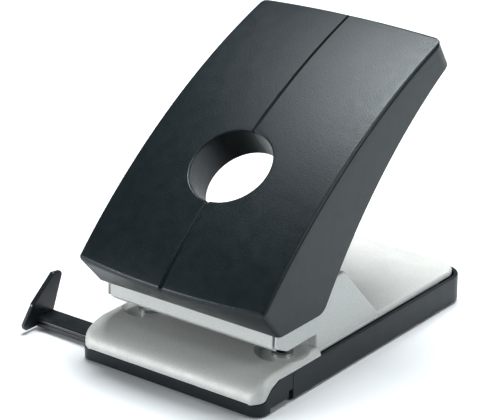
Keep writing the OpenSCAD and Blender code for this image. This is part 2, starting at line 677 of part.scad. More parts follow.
// ---- Punch pins ----
module punch_pin() {
    difference() {
        union() {
            translate([0, 0, pin_tip]) cylinder(r = pin_r, h = pin_head_top - pin_tip);
            translate([0, 0, pin_head_top - pin_head_h]) cylinder(r = pin_head_r, h = pin_head_h);
        }
        // hollow-ground cutting end
        translate([0, 0, pin_tip - 0.5]) rotate([90, 0, 0]) translate([0, 0, -5]) cylinder(r = 1.3, h = 10);
    }
}
module punch_pin_left() color(STEEL) translate([-pin_x, 0, 0]) punch_pin();
module punch_pin_right() color(STEEL) translate([pin_x, 0, 0]) punch_pin();

spring_turns = 8;
spring_wire_r = 0.45;
spring_r = pin_r + 1.2;
module return_spring() {
    per_turn = 16;
    sides = 6;
    n = spring_turns * per_turn;
    z0 = spring_z + spring_wire_r + 0.05;
    rise = spring_h - 2 * spring_wire_r - 0.1;
    pts = [for (i = [0:n], k = [0:sides - 1]) let (a = 360 * i / per_turn, b = 360 * k / sides,
                r = spring_r + spring_wire_r * cos(b))
                [r * cos(a), r * sin(a), z0 + rise * i / n + spring_wire_r * sin(b)]];
    skin_faces = [for (i = [0:n - 1], k = [0:sides - 1]) let (j = (k + 1) % sides)
                each [[i * sides + k, (i + 1) * sides + j, i * sides + j],
                      [i * sides + k, (i + 1) * sides + k, (i + 1) * sides + j]]];
    ends = [[for (k = [0:sides - 1]) k], [for (k = [sides - 1:-1:0]) n * sides + k]];
    polyhedron(points = pts, faces = concat(skin_faces, ends));
}
module return_spring_left() color(STEEL) translate([-pin_x, 0, 0]) return_spring();
module return_spring_right() color(STEEL) translate([pin_x, 0, 0]) return_spring();

// Moves a piece from the pins' frame to the object's frame
module placed() translate([0, foot_mid, 0]) children();

placed() front_base();
placed() paper_table();
placed() base_plate();
placed() tray_rails();
placed() side_plate_left();
placed() side_plate_right();
placed() guide_bridge();
placed() pin_guide_left();
placed() pin_guide_right();
placed() die_left();
placed() die_right();
placed() housing_cover();
placed() front_band();
placed() pivot_axle();
placed() axle_clips();
placed() frame_rivets();
placed() bridge_screws();
placed() cover_screws();
placed() guide_keeper();
placed() detent_spring();
placed() front_foot();
placed() chad_tray();
placed() rear_feet();
placed() lever_shell();
placed() lever_frame();
placed() lever_cover();
placed() press_bar();
placed() lever_screws();
placed() punch_pin_left();
placed() punch_pin_right();
placed() return_spring_left();
placed() return_spring_right();
placed() guide_bar();
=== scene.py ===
"""Two-hole office punch with a tall leaning lever: the looks of its pieces and its studio.

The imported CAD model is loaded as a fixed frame.  Every piece here is drawn in millimetres
with y = 0 at the punch pins, as the CAD source draws it, and is then moved into the frame.
"""
import math

import bmesh
import bpy
from mathutils import Matrix, Vector


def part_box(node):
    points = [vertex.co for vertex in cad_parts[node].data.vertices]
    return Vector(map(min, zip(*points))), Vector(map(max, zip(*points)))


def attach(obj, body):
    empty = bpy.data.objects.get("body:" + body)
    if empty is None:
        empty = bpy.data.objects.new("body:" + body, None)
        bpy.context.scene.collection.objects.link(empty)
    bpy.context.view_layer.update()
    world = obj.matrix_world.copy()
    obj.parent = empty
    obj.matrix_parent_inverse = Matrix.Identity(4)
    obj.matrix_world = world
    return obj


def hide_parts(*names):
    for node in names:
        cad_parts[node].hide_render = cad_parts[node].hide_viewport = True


bl_info = {
    "name": "Office hole punch",
    "version": (1, 0, 0),
    "blender": (4, 5, 0),
    "location": "3D View > Sidebar > Hole punch",
    "description": "Builds the pieces of a two-hole office punch and its studio",
    "category": "Object",
}

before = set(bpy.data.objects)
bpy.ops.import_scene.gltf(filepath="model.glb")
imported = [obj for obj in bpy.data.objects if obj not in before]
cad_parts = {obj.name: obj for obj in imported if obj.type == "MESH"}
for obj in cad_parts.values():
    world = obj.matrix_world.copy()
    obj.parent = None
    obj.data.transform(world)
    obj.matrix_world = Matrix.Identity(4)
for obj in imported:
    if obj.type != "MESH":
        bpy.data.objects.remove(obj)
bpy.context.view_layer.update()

MM = 0.001
SLIVER = 0.01  # millimetres; edges shorter than this are closed up after a cut


def pin_line():
    """How far behind the frame's origin the punch pins stand, in millimetres."""
    low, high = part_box("die_left")
    return (low.y + high.y) / 2 / MM


def node_box(name):
    """Lowest and highest corner of a CAD node in millimetres, with y = 0 at the pins."""
    low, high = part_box(name)
    shift = Vector((0, pin_line(), 0))
    return low / MM - shift, high / MM - shift


# ---- Sizes that the pieces share, in millimetres ----

BASE_X = node_box("chad_tray")[1].x
REAR_Y = node_box("chad_tray")[1].y
RIM_Z = node_box("chad_tray")[1].z
FRONT_Y = node_box("front_base")[0].y
BASE_BOTTOM = node_box("front_base")[0].z
TABLE_Z = node_box("paper_table")[1].z
LEVER_X = node_box("lever_shell")[1].x
DIE = node_box("die_right")
PIN_X = (DIE[0].x + DIE[1].x) / 2
DIE_R = (DIE[1].x - DIE[0].x) / 2
BAR = node_box("guide_bar")
SLOT_TOP = TABLE_Z + 6.6
STOP_Y = 12
SEAM_Y = -10.3
LIP_Z = 6.3
DECK_Z = 17.8
WALL = 2.2
GAP = 0.4
CHEEK_X = node_box("side_plate_right")[1].x + 2.8
CHEEK_WALL = 1.6
SLOPE_FOOT_Y = 62.3
SLOPE_TOP_Z = 49
SIDE_LINE = [(FRONT_Y, LIP_Z), (FRONT_Y + 5, 7.2), (FRONT_Y + 9.7, 12), (-20, RIM_Z)]


# ---- Colours and materials ----

def linear(code):
    """A linear colour from an sRGB hex value."""
    channels = [int(code[i:i + 2], 16) / 255 for i in (1, 3, 5)]
    return [c / 12.92 if c <= 0.04045 else ((c + 0.055) / 1.055) ** 2.4 for c in channels]


def add_node(tree, kind, settings=None, links=None):
    """Adds a node, sets its sockets or properties by name, and links its inputs."""
    node = tree.nodes.new(kind)
    for name, value in (settings or {}).items():
        if name in node.inputs:
            node.inputs[name].default_value = value
        else:
            setattr(node, name, value)
    for name, socket in (links or {}).items():
        tree.links.new(socket, node.inputs[name])
    return node


def start_material(name, settings):
    """A new material, its node tree and its shader with constant settings."""
    material = bpy.data.materials.new(name)
    material.use_nodes = True
    tree = material.node_tree
    tree.nodes.clear()
    shader = add_node(tree, "ShaderNodeBsdfPrincipled", settings)
    add_node(tree, "ShaderNodeOutputMaterial", links={"Surface": shader.outputs["BSDF"]})
    return material, tree, shader


def grain(tree, shader, size, height, strength, detail=2.0):
    """Links a fine noise of the given grain size, in millimetres, to the shader's bump."""
    place = add_node(tree, "ShaderNodeTexCoord")
    noise = add_node(tree, "ShaderNodeTexNoise", {"Scale": 1 / (size * MM), "Detail": detail},
                     {"Vector": place.outputs["Object"]})
    bump = add_node(tree, "ShaderNodeBump", {"Strength": strength, "Distance": height * MM},
                    {"Height": noise.outputs["Fac"]})
    tree.links.new(bump.outputs["Normal"], shader.inputs["Normal"])
    return place


def vary(tree, shader, socket, place, size, low, high, detail=2.0):
    """Links a cloudy noise between two values to one socket of the shader."""
    noise = add_node(tree, "ShaderNodeTexNoise", {"Scale": 1 / (size * MM), "Detail": detail},
                     {"Vector": place.outputs["Object"]})
    spread = add_node(tree, "ShaderNodeMapRange",
                      {"From Min": 0.3, "From Max": 0.7, "To Min": low, "To Max": high},
                      {"Value": noise.outputs["Fac"]})
    tree.links.new(spread.outputs["Result"], shader.inputs[socket])


def mottle(tree, shader, place, size, dark, light):
    """Links a faint mix of two close colours to the shader's base colour."""
    noise = add_node(tree, "ShaderNodeTexNoise", {"Scale": 1 / (size * MM), "Detail": 3.0},
                     {"Vector": place.outputs["Object"]})
    ramp = add_node(tree, "ShaderNodeValToRGB", links={"Fac": noise.outputs["Fac"]})
    ramp.color_ramp.elements[0].position = 0.35
    ramp.color_ramp.elements[0].color = (*dark, 1)
    ramp.color_ramp.elements[1].position = 0.65
    ramp.color_ramp.elements[1].color = (*light, 1)
    tree.links.new(ramp.outputs["Color"], shader.inputs["Base Color"])


def shade(colour, factor):
    """A colour made darker or lighter by a factor."""
    return [c * factor for c in colour[:3]]


def abs_spark_eroded(name, colour, roughness):
    """ABS moulded in a spark-eroded mould: satin, with an even fine grain that breaks up
    the highlights.  The real grain is about 0.15 mm; it is drawn at 0.6 mm to show."""
    material, tree, shader = start_material(
        name, {"IOR": 1.53, "Roughness": roughness, "Specular IOR Level": 0.3,
               "Specular Tint": (0.86, 0.96, 1.0, 1.0)})
    place = grain(tree, shader, 0.6, 0.09, 1.0)
    mottle(tree, shader, place, 0.9, shade(colour, 0.9), shade(colour, 1.12))
    vary(tree, shader, "Roughness", place, 6, roughness - 0.03, roughness + 0.03)
    return material


def abs_polished(name, colour):
    """ABS moulded in a polished mould, as the paper guide is: smoother and glossier."""
    material, tree, shader = start_material(name, {"IOR": 1.53, "Roughness": 0.3})
    place = grain(tree, shader, 0.6, 0.03, 0.25)
    mottle(tree, shader, place, 2.5, shade(colour, 0.92), shade(colour, 1.08))
    vary(tree, shader, "Roughness", place, 8, 0.26, 0.36)
    return material


def paint_silver(name, colour):
    """Silver-grey paint with fine metal flakes: matt, bright where it faces the light, and
    slightly sandy.  The flakes are about 0.1 mm; they are drawn at 0.5 mm to show."""
    material, tree, shader = start_material(
        name, {"IOR": 1.5, "Metallic": 0.25, "Roughness": 0.52})
    place = grain(tree, shader, 0.5, 0.05, 0.55, detail=4.0)
    mottle(tree, shader, place, 0.7, shade(colour, 0.93), shade(colour, 1.05))
    vary(tree, shader, "Roughness", place, 5, 0.47, 0.57)
    return material


def steel_zinc_plated(name, colour):
    """Rolled sheet steel, stamped and zinc plated: soft sheen with faint rolling streaks."""
    material, tree, shader = start_material(name, {"Metallic": 1.0, "Roughness": 0.38})
    place = add_node(tree, "ShaderNodeTexCoord")
    stretch = add_node(tree, "ShaderNodeMapping", {"Scale": (3.0, 0.15, 3.0)},
                       {"Vector": place.outputs["Object"]})
    streaks = add_node(tree, "ShaderNodeTexNoise", {"Scale": 1 / (1.5 * MM), "Detail": 3.0},
                       {"Vector": stretch.outputs["Vector"]})
    bump = add_node(tree, "ShaderNodeBump", {"Strength": 0.2, "Distance": 0.02 * MM},
                    {"Height": streaks.outputs["Fac"]})
    tree.links.new(bump.outputs["Normal"], shader.inputs["Normal"])
    mottle(tree, shader, place, 7, shade(colour, 0.88), shade(colour, 1.05))
    vary(tree, shader, "Roughness", place, 4, 0.32, 0.46)
    return material


def steel_ground(name, colour, roughness):
    """Hardened tool steel, ground round: brighter, with fine rings of grinding marks."""
    material, tree, shader = start_material(name, {"Metallic": 1.0, "Roughness": roughness})
    place = add_node(tree, "ShaderNodeTexCoord")
    squash = add_node(tree, "ShaderNodeMapping", {"Scale": (0.2, 0.2, 4.0)},
                      {"Vector": place.outputs["Object"]})
    marks = add_node(tree, "ShaderNodeTexNoise", {"Scale": 1 / (0.8 * MM), "Detail": 2.0},
                     {"Vector": squash.outputs["Vector"]})
    bump = add_node(tree, "ShaderNodeBump", {"Strength": 0.15, "Distance": 0.01 * MM},
                    {"Height": marks.outputs["Fac"]})
    tree.links.new(bump.outputs["Normal"], shader.inputs["Normal"])
    mottle(tree, shader, place, 3, shade(colour, 0.92), shade(colour, 1.04))
    return material


def rubber_moulded(name, colour):
    """Moulded rubber: dull, with dust-fine pits."""
    material, tree, shader = start_material(name, {"IOR": 1.52, "Roughness": 0.85})
    place = grain(tree, shader, 0.4, 0.05, 0.4)
    mottle(tree, shader, place, 1.5, shade(colour, 0.8), shade(colour, 1.3))
    return material


def floor_paper(name, colour):
    """Matt white studio paper."""
    material, tree, shader = start_material(name, {"Roughness": 0.9})
    place = grain(tree, shader, 2.0, 0.02, 0.1)
    mottle(tree, shader, place, 60, shade(colour, 0.995), colour)
    return material


def finish(name, maker, *settings):
    """The material of that name, made once."""
    return bpy.data.materials.get(name) or maker(name, *settings)


def lever_abs(context):
    colour = list(context.scene.punch_finish.lever_colour)
    return finish("abs_moulded_lever", abs_spark_eroded, colour, 0.36)


def base_abs(context):
    colour = list(context.scene.punch_finish.base_colour)
    return finish("abs_moulded_base", abs_spark_eroded, colour, 0.4)


def silver_paint(context):
    return finish("paint_silver_grey", paint_silver, list(context.scene.punch_finish.silver_colour))


# ---- Mesh helpers ----

def prism(outline, low, high, axis):
    """A closed prism: an outline pushed along X (y, z), Y (x, z) or Z (x, y)."""
    bm = bmesh.new()
    spread = {"X": lambda p, h: (h, p[0], p[1]),
              "Y": lambda p, h: (p[0], h, p[1]),
              "Z": lambda p, h: (p[0], p[1], h)}[axis]
    near = [bm.verts.new(spread(p, low)) for p in outline]
    far = [bm.verts.new(spread(p, high)) for p in outline]
    bm.faces.new(near)
    bm.faces.new(far[::-1])
    for i in range(len(outline)):
        j = (i + 1) % len(outline)
        bm.faces.new((near[i], far[i], far[j], near[j]))
    bmesh.ops.recalc_face_normals(bm, faces=bm.faces)
    return bm


def box(low, high):
    """A closed box between two corners."""
    outline = [(low[0], low[1]), (high[0], low[1]), (high[0], high[1]), (low[0], high[1])]
    return prism(outline, low[2], high[2], "Z")


def ring_stack(rings, close=True):
    """A solid or shell through closed rings with the same number of points."""
    bm = bmesh.new()
    rows = [[bm.verts.new(p) for p in ring] for ring in rings]
    for low, high in zip(rows, rows[1:]):
        for i in range(len(low)):
            j = (i + 1) % len(low)
            bm.faces.new((low[i], low[j], high[j], high[i]))
    if close:
        bm.faces.new(rows[0][::-1])
        bm.faces.new(rows[-1])
    bmesh.ops.recalc_face_normals(bm, faces=bm.faces)
    return bm


def turned(profile, centre, steps=64):
    """A body turned about a vertical axis through centre, from (radius, height) pairs."""
    rings = [[(centre[0] + r * math.cos(2 * math.pi * i / steps),
               centre[1] + r * math.sin(2 * math.pi * i / steps), z) for i in range(steps)]
             for r, z in profile]
    return ring_stack(rings)


def arc(centre, radius, start, end, steps):
    """Points on an arc; angles in degrees."""
    angles = [math.radians(start + (end - start) * i / steps) for i in range(steps + 1)]
    return [(centre[0] + radius * math.cos(a), centre[1] + radius * math.sin(a)) for a in angles]


def place(bm, name):
    """Turns a millimetre mesh into an object in the frame."""
    bm.transform(Matrix.Scale(MM, 4) @ Matrix.Translation((0, pin_line(), 0)))
    mesh = bpy.data.meshes.new(name)
    bm.to_mesh(mesh)
    bm.free()
    piece = bpy.data.objects.new(name, mesh)
    bpy.context.scene.collection.objects.link(piece)
    return piece


def bake(piece):
    """Applies a piece's modifiers to its mesh."""
    graph = bpy.context.evaluated_depsgraph_get()
    mesh = bpy.data.meshes.new_from_object(piece.evaluated_get(graph))
    piece.modifiers.clear()
    piece.data = mesh


def combine(piece, other, operation="DIFFERENCE"):
    """Cuts a closed mesh or another piece out of a piece, or joins it to the piece."""
    tool = other if isinstance(other, bpy.types.Object) else place(other, "tool")
    change = piece.modifiers.new(operation.title(), "BOOLEAN")
    change.operation = operation
    change.solver = "EXACT"
    change.object = tool
    bake(piece)
    bpy.data.objects.remove(tool)
    # slivers along the cut are closed up
    bm = bmesh.new()
    bm.from_mesh(piece.data)
    bmesh.ops.remove_doubles(bm, verts=bm.verts, dist=SLIVER * MM)
    bmesh.ops.dissolve_degenerate(bm, edges=bm.edges, dist=SLIVER * MM)
    bm.to_mesh(piece.data)
    bm.free()


def round_edges(piece, radius, steps=3, angle=30):
    """Rounds every edge that is sharper than an angle."""
    bevel = piece.modifiers.new("Rounded edges", "BEVEL")
    bevel.width = radius * MM
    bevel.segments = steps
    bevel.limit_method = "ANGLE"
    bevel.angle_limit = math.radians(angle)
    bevel.miter_outer = "MITER_ARC"
    bake(piece)


def finish_piece(piece, body, material, slot, *replaced, sharp=32):
    """Smooths a piece, gives it its material and fixes it to its body."""
    piece.data.shade_smooth()
    piece.data.set_sharp_from_angle(angle=math.radians(sharp))
    weights = piece.modifiers.new("Face weighted normals", "WEIGHTED_NORMAL")
    weights.keep_sharp = True
    piece.data.materials.clear()
    piece.data.materials.append(material)
    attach(piece, body)
    if replaced:
        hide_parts(*replaced)
    return piece


# ---- Shape of the lever ----

CHIN_FRONT = Vector((-34.2, 51.6))
CHIN_BACK = Vector((-21, 35.8))
HEEL_A = Vector((9.4, 35.8))
HEEL_B = Vector((15.2, 38.6))
TOP_FRONT = Vector((107.8, 144))
TOP_BACK = Vector((117, 130.8))
FACE_SAG = 10
BACK_SAG = 8.2
LEVER_TAPER = 1.0
CROWN_LOW = 6.2
CROWN_HIGH = 2.2
SKIRT_STEP = 1.0
HEEL_SHARE = 0.15
FINGER = Vector((13.1, 95.4))
FINGER_TILT = math.radians(38)
FINGER_R = 20.8
FINGER_DEPTH = 19


def turned_left(v):
    return Vector((-v.y, v.x))


def arc_at(start, end, sag, share):
    """A point on the arc from start to end that bulges by sag to the left."""
    chord = (end - start).length
    radius = chord * chord / (8 * sag) + sag / 2
    half = math.asin(chord / (2 * radius))
    angle = half * (2 * share - 1)
    along = (end - start) / chord
    return ((start + end) / 2 + along * radius * math.sin(angle)
            + turned_left(along) * (radius * math.cos(angle) - radius + sag))


def face_way(share):
    """Unit direction up the lever's face at a share of its length."""
    return (arc_at(CHIN_FRONT, TOP_FRONT, FACE_SAG, share + 0.01)
            - arc_at(CHIN_FRONT, TOP_FRONT, FACE_SAG, share - 0.01)).normalized()


def crown_way(share):
    """Direction in which the face bulges: forward at the chin, square to the face above."""
    blend = min(1, share / 0.15)
    return (Vector((-1, 0)) * (1 - blend) + turned_left(face_way(share)) * blend).normalized()


def half_width(share):
    return LEVER_X - LEVER_TAPER * share


def groove_half(share):
    """Half of the centre groove's width, which narrows towards the top."""
    width = bpy.context.scene.punch_sizes.groove_width / MM
    return width / 2 * (1 - 0.5 * share)


def face_surface(x, share):
    """A point of the lever's face, with the centre groove sunk in."""
    point = arc_at(CHIN_FRONT, TOP_FRONT, FACE_SAG, share)
    crown = CROWN_HIGH + (CROWN_LOW - CROWN_HIGH) * (1 - share) ** 3
    out = crown_way(share) * crown * (1 - (x / half_width(share)) ** 2)
    depth = bpy.context.scene.punch_sizes.groove_depth / MM
    near = min(1, abs(x) / groove_half(share))
    sink = turned_left(face_way(share)) * depth * (1 - near ** 2)
    point = point + out - sink
    return Vector((x, point.x, point.y))


def back_edge(share):
    """A point of the skirt's back edge, from the chin round the heel to the top."""
    if share <= 0.1:
        return CHIN_BACK.lerp(HEEL_A, share / 0.1)
    if share <= HEEL_SHARE:
        t = (share - 0.1) / (HEEL_SHARE - 0.1)
        corner = Vector((12.6, 35.8))
        return HEEL_A.lerp(corner, t).lerp(corner.lerp(HEEL_B, t), t)
    return arc_at(HEEL_B, TOP_BACK, BACK_SAG, (share - HEEL_SHARE) / (1 - HEEL_SHARE))


FACE_ROWS = ([0.021 * i for i in range(10)] + [0.21 + 0.34 * i / 20 for i in range(20)]
             + [0.55 + 0.405 * i / 15 for i in range(16)] + [1.0])
BLOCK_ROWS = (10, 30)
BLOCK_COLUMNS = 10
BLOCK_X = 28
RULINGS = 5


def column_places(share):
    """The x of each column of the face, from left to right."""
    groove = groove_half(share)
    block = BLOCK_X * half_width(share) / half_width(0.38)
    edge = half_width(share)
    right = [groove * k for k in (0.35, 0.7, 1.0)]
    right += [groove + (block - groove) * k / 7 for k in range(1, 8)]
    right += [block + (edge - 7 - block) * k / 4 for k in range(1, 5)] + [edge]
    return [-x for x in reversed(right)] + [0] + right


def up_hole(point):
    """How far a face point lies up the face from the finger hole's axis."""
    return ((point.y - FINGER.x) * math.cos(FINGER_TILT)
            + (point.z - FINGER.y) * math.sin(FINGER_TILT))


def along_hole(point):
    """How far a point lies out along the finger hole's axis."""
    return (-(point.y - FINGER.x) * math.sin(FINGER_TILT)
            + (point.z - FINGER.y) * math.cos(FINGER_TILT))


def face_at(x, up):
    """The face point with a given x and height up the hole's plane."""
    low, high = 0.1, 0.75
    for _ in range(40):
        middle = (low + high) / 2
        if up_hole(face_surface(x, middle)) < up:
            low = middle
        else:
            high = middle
    return face_surface(x, (low + high) / 2)


def grid(bm, rows):
    """Quads between rows of points."""
    lines = [[bm.verts.new(p) for p in row] for row in rows]
    for low, high in zip(lines, lines[1:]):
        for i in range(len(low) - 1):
            bm.faces.new((low[i], low[i + 1], high[i + 1], high[i]))


def hole_border():
    """The (x, share) pairs round the block of the face that holds the finger hole."""
    low, high = BLOCK_ROWS
    middle = len(column_places(0)) // 2
    inside = range(middle - BLOCK_COLUMNS, middle + BLOCK_COLUMNS + 1)
    bottom = [(column_places(FACE_ROWS[low])[i], FACE_ROWS[low]) for i in inside]
    right = [(column_places(FACE_ROWS[r])[inside[-1]], FACE_ROWS[r]) for r in range(low, high)]
    top = [(column_places(FACE_ROWS[high])[i], FACE_ROWS[high]) for i in reversed(inside)]
    left = [(column_places(FACE_ROWS[r])[inside[0]], FACE_ROWS[r]) for r in range(high, low, -1)]
    return bottom[:-1] + right + top[:-1] + left


def rim_angle(x, share):
    """The angle on the finger hole's rim that a border point joins, 0 at the bottom."""
    low, high = FACE_ROWS[BLOCK_ROWS[0]], FACE_ROWS[BLOCK_ROWS[1]]
    if share in (low, high):
        groove = groove_half(share)
        start = math.asin(groove / FINGER_R)
        edge = BLOCK_X * half_width(share) / half_width(0.38)
        if abs(x) <= groove:
            angle = math.asin(abs(x) / FINGER_R)
        else:
            angle = start + (math.pi / 4 - start) * (abs(x) - groove) / (edge - groove)
        angle = math.copysign(angle, x)
        return angle if share == low else math.pi - angle
    fraction = (share - low) / (high - low)
    angle = math.pi / 4 + math.pi / 2 * fraction
    return math.copysign(angle, x)


def lever_surface():
    """The lever's outer surface, open at the back, and the coordinates of its edge lines."""
    bm = bmesh.new()
    rows = [[face_surface(x, share) for x in column_places(share)] for share in FACE_ROWS]
    middle = len(rows[0]) // 2
    low, high = BLOCK_ROWS
    left, right = middle - BLOCK_COLUMNS, middle + BLOCK_COLUMNS
    grid(bm, rows[:low + 1])
    grid(bm, rows[high:])
    grid(bm, [row[:left + 1] for row in rows[low:high + 1]])
    grid(bm, [row[right:] for row in rows[low:high + 1]])
    # from the block's border to the rim of the finger hole, then down its wall
    border = hole_border()
    spokes = []
    for x, share in border:
        outer = face_surface(x, share)
        angle = rim_angle(x, share)
        rim_x, rim_up = FINGER_R * math.sin(angle), -FINGER_R * math.cos(angle)
        outer_up = up_hole(outer)
        spoke = [outer]
        for part in (0.72, 0.48, 0.24, 0.0):
            spoke.append(face_at(rim_x + (x - rim_x) * part, rim_up + (outer_up - rim_up) * part))
        rim = spoke[-1]
        height = along_hole(rim)
        for part in (0.15, 0.4, 0.7, 1.0):
            drop = (height + FINGER_DEPTH) * part
            spoke.append(rim + drop * Vector((0, math.sin(FINGER_TILT), -math.cos(FINGER_TILT))))
        spokes.append(spoke)
    spokes.append(spokes[0])
    grid(bm, spokes)
    rim_line = [spoke[4] for spoke in spokes]
    # sides, chin and top end
    sides = {}
    for sign in (-1, 1):
        lines = []
        for share in FACE_ROWS:
            start = face_surface(sign * half_width(share), share)
            back = back_edge(share)
            end = Vector((sign * (half_width(share) - SKIRT_STEP), back.x, back.y))
            lines.append([start.lerp(end, k / RULINGS) for k in range(RULINGS + 1)])
        grid(bm, lines)
        sides[sign] = lines
    for share, corner in ((FACE_ROWS[0], CHIN_BACK), (FACE_ROWS[-1], TOP_BACK)):
        strip = []
        for k in range(RULINGS + 1):
            line = []
            for x in column_places(share):
                start = face_surface(x, share)
                reach = x / half_width(share) * (half_width(share) - SKIRT_STEP)
                end = Vector((reach, corner.x, corner.y))
                line.append(start.lerp(end, k / RULINGS))
            strip.append(line)
        grid(bm, strip)
    bmesh.ops.remove_doubles(bm, verts=bm.verts, dist=0.005)
    bmesh.ops.recalc_face_normals(bm, faces=bm.faces)
    top = max(bm.faces, key=lambda face: (face.calc_center_median().z
                                          - abs(face.calc_center_median().x)))
    if top.normal.z < 0:
        bmesh.ops.reverse_faces(bm, faces=bm.faces)
    lines = {
        "rim": rim_line,
        "side": [line[0] for sign in (-1, 1) for line in sides[sign]],
        "front": rows[0],
        "top": rows[-1],
        "chin_corner": sides[1][0],
        "chin_corner_left": sides[-1][0],
        "top_corner": sides[1][-1],
        "top_corner_left": sides[-1][-1],
    }
    return bm, lines


def weigh_edges(bm, lines, weights):
    """Marks how far the bevel rounds the edges along each named line."""
    layer = bm.edges.layers.float.new("bevel_weight_edge")
    places = {name: {tuple(round(c, 2) for c in p) for p in lines[name]} for name in weights}
    for edge in bm.edges:
        ends = [tuple(round(c, 2) for c in v.co) for v in edge.verts]
        for name, weight in weights.items():
            if all(end in places[name] for end in ends):
                edge[layer] = weight


# ---- Operators ----

class PunchSizes(bpy.types.PropertyGroup):
    """Sizes of the looks that a user would change"""
    groove_width: bpy.props.FloatProperty(
        name="Groove width", description="Width of the lever's centre groove at its lower end",
        default=2.8 * MM, min=0.5 * MM, max=4 * MM, unit="LENGTH")
    groove_depth: bpy.props.FloatProperty(
        name="Groove depth", description="Depth of the lever's centre groove",
        default=1.4 * MM, min=0.2 * MM, max=1.5 * MM, unit="LENGTH")
    lever_edge: bpy.props.FloatProperty(
        name="Lever edge radius", description="Rounding between the lever's face and sides",
        default=2.0 * MM, min=0.5 * MM, max=3 * MM, unit="LENGTH")
    lever_corner: bpy.props.FloatProperty(
        name="Lever corner radius", description="Rounding of the lever's two upper corners",
        default=6.5 * MM, min=1 * MM, max=8 * MM, unit="LENGTH")
    dish_radius: bpy.props.FloatProperty(
        name="Dish radius", description="Radius of the dished ring round each punched hole",
        default=13.2 * MM, min=9 * MM, max=15 * MM, unit="LENGTH")
    moulded_edge: bpy.props.FloatProperty(
        name="Moulded edge radius", description="Rounding of the small moulded edges",
        default=0.5 * MM, min=0.1 * MM, max=0.8 * MM, unit="LENGTH")


class PunchFinish(bpy.types.PropertyGroup):
    """Colours of the finishes"""
    lever_colour: bpy.props.FloatVectorProperty(
        name="Lever plastic", description="Colour of the lever's moulding",
        default=linear("#0a1216"), size=3, min=0, max=1, subtype="COLOR")
    base_colour: bpy.props.FloatVectorProperty(
        name="Base plastic", description="Colour of the tray, front base and paper guide",
        default=linear("#0c1317"), size=3, min=0, max=1, subtype="COLOR")
    silver_colour: bpy.props.FloatVectorProperty(
        name="Silver paint", description="Colour of the paper table and the housing",
        default=linear("#bdc0be"), size=3, min=0, max=1, subtype="COLOR")
    floor_colour: bpy.props.FloatVectorProperty(
        name="Floor", description="Colour of the studio floor",
        default=linear("#d9dee1"), size=3, min=0, max=1, subtype="COLOR")


class PUNCH_OT_lever_shell(bpy.types.Operator):
    """Builds the lever's moulded shell with its finger hole and centre groove"""
    bl_idname = "punch.lever_shell"
    bl_label = "Lever shell"

    def execute(self, context):
        sizes = context.scene.punch_sizes
        bm, lines = lever_surface()
        corner = sizes.lever_corner
        weigh_edges(bm, lines, {
            "side": sizes.lever_edge / corner,
            "front": sizes.lever_edge / corner,
            "top": sizes.lever_edge / corner,
            "chin_corner": sizes.lever_edge / corner,
            "chin_corner_left": sizes.lever_edge / corner,
            "top_corner": 1.0,
            "top_corner_left": 1.0,
            "rim": 0.8 * MM / corner,
        })
        shell = place(bm, "lever_moulding")
        bevel = shell.modifiers.new("Rounded edges", "BEVEL")
        bevel.limit_method = "WEIGHT"
        bevel.width = corner
        bevel.segments = 5
        bevel.use_clamp_overlap = False
        wall = shell.modifiers.new("Wall", "SOLIDIFY")
        wall.thickness = 2.0 * MM
        wall.offset = -1
        wall.use_even_offset = True
        bake(shell)
        finish_piece(shell, "lever", lever_abs(context), "lever_plastic", "lever_shell", sharp=40)
        return {"FINISHED"}


